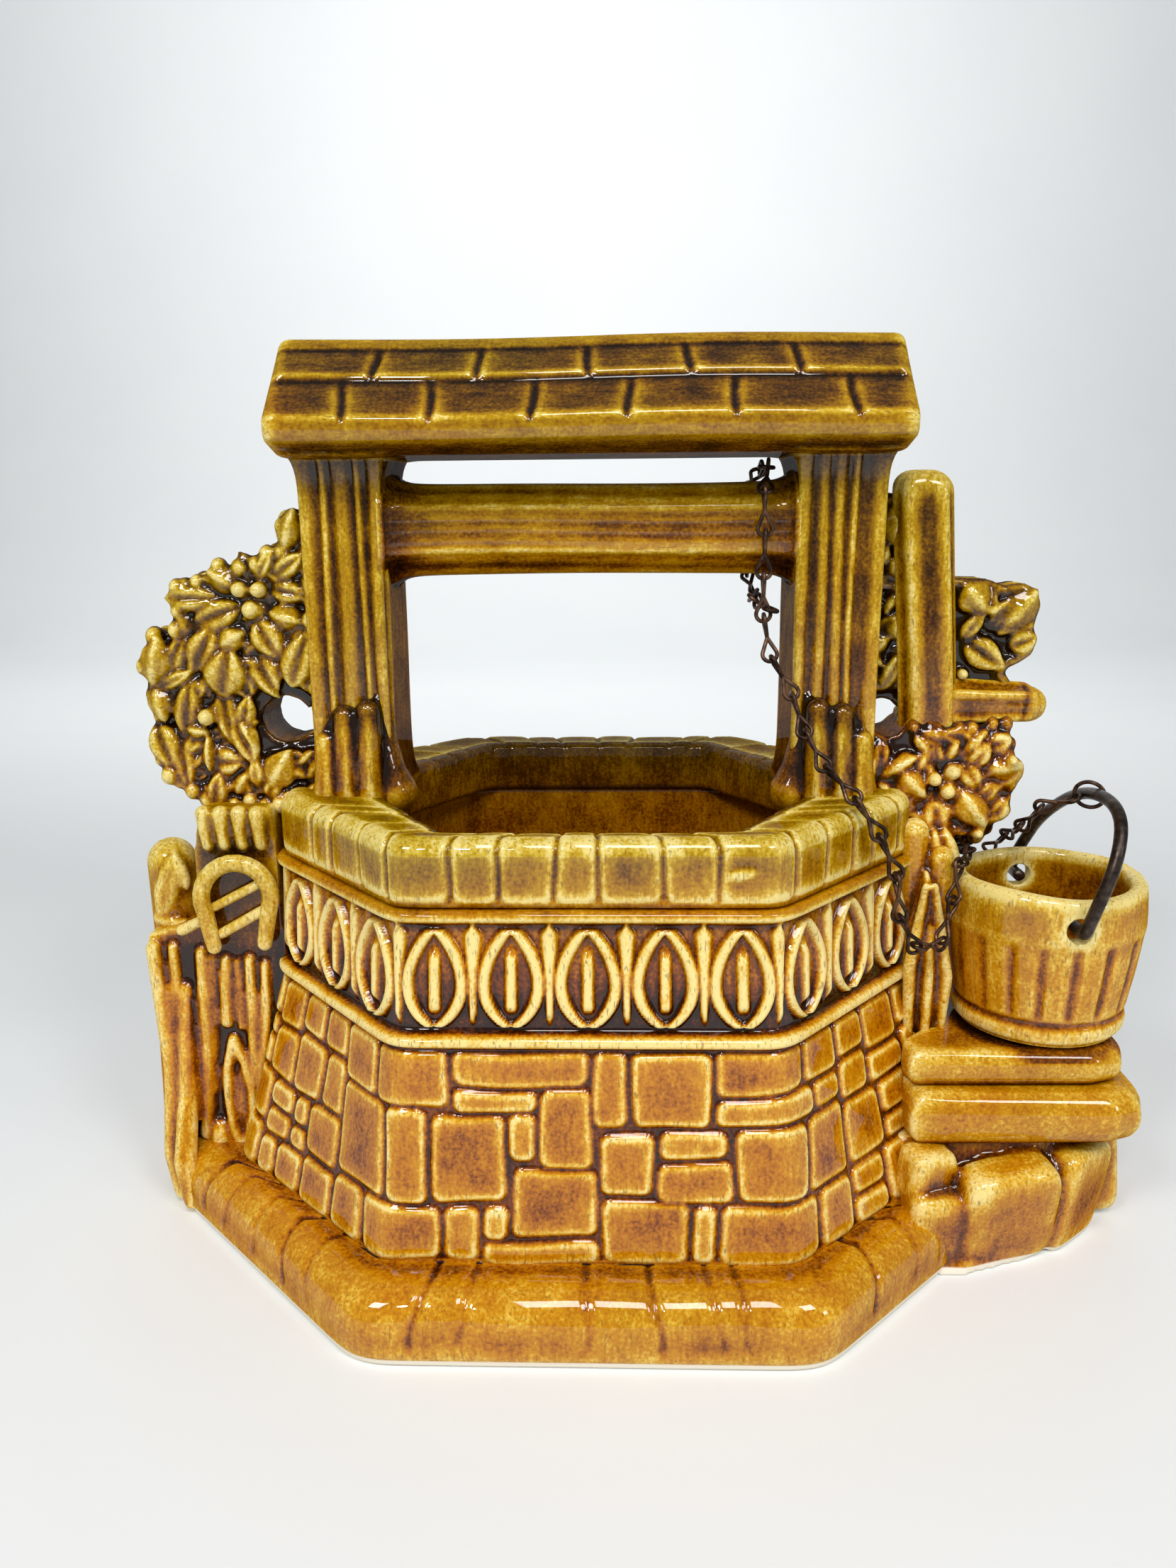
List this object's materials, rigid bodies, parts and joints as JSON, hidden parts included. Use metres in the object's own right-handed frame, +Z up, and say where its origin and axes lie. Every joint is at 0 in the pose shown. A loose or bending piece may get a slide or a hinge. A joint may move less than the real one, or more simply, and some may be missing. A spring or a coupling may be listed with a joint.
{
  "type": "wishing well planter",
  "caption": "Glazed pottery planter shaped as a roofed wishing well, with an eight-sided stone wall, leafy posts, a bench with a hollow bucket, and a link chain",
  "frame": {"origin": "centre of the well on the surface it stands on", "axes": "+X towards the bench with the bucket, -Y towards the viewer, +Z up"},
  "size_m": [0.1965, 0.128, 0.171],
  "materials": {
    "amber_glaze": "gloss",
    "olive_glaze": "gloss",
    "chain_wire": "satin",
    "bail_wire": "satin"
  },
  "bodies": {
    "pottery": {"bench_lower_slab": "amber_glaze", "bench_rocks": "amber_glaze", "bench_upper_slab": "amber_glaze", "bucket": "amber_glaze", "coping_ring": "amber_glaze", "crossbar": "olive_glaze", "frieze_band": "amber_glaze", "horseshoe": "amber_glaze", "left_brace": "amber_glaze", "left_foliage": "amber_glaze", "left_log": "amber_glaze", "left_post": "olive_glaze", "left_rail": "amber_glaze", "left_stump": "amber_glaze", "lower_bead": "amber_glaze", "plinth": "amber_glaze", "right_brace": "amber_glaze", "right_foliage": "amber_glaze", "right_ivy": "amber_glaze", "right_leaf": "amber_glaze", "right_pole": "olive_glaze", "right_post": "olive_glaze", "right_rail": "amber_glaze", "right_stalk": "amber_glaze", "rim_link_01": "chain_wire", "rim_link_02": "chain_wire", "rim_link_03": "chain_wire", "rim_link_04": "chain_wire", "roof": "olive_glaze", "upper_bead": "amber_glaze", "well_wall": "amber_glaze", "wrap_link_01": "chain_wire", "wrap_link_02": "chain_wire", "wrap_link_03": "chain_wire", "wrap_link_04": "chain_wire", "wrap_link_05": "chain_wire", "wrap_link_06": "chain_wire", "wrap_link_07": "chain_wire", "wrap_link_08": "chain_wire", "wrap_link_09": "chain_wire", "wrap_link_10": "chain_wire", "wrap_link_11": "chain_wire"},
    "bail": {"bucket_bail": "bail_wire", "bail_ring": "chain_wire", "lead_link_01": "chain_wire", "lead_link_02": "chain_wire", "lead_link_03": "chain_wire", "lead_link_04": "chain_wire"},
    "chain_swag": {"swag_link_01": "chain_wire", "swag_link_02": "chain_wire", "swag_link_03": "chain_wire", "swag_link_04": "chain_wire", "swag_link_05": "chain_wire", "swag_link_06": "chain_wire", "swag_link_07": "chain_wire", "swag_link_08": "chain_wire", "swag_link_09": "chain_wire", "swag_link_10": "chain_wire", "swag_link_11": "chain_wire", "swag_link_12": "chain_wire"}
  },
  "joints": [
    {"name": "bail_swing", "type": "hinge", "parent": "pottery", "child": "bail", "pos_m": [0.0873, -0.0142, 0.066], "axis": [0, 1, 0], "range_deg": [-10, 25]},
    {"name": "swag_swing", "type": "hinge", "parent": "pottery", "child": "chain_swag", "pos_m": [0.0322, -0.011, 0.12], "axis": [-0.6195, 0.131, 0.774], "range_deg": [0, 30]}
  ]
}
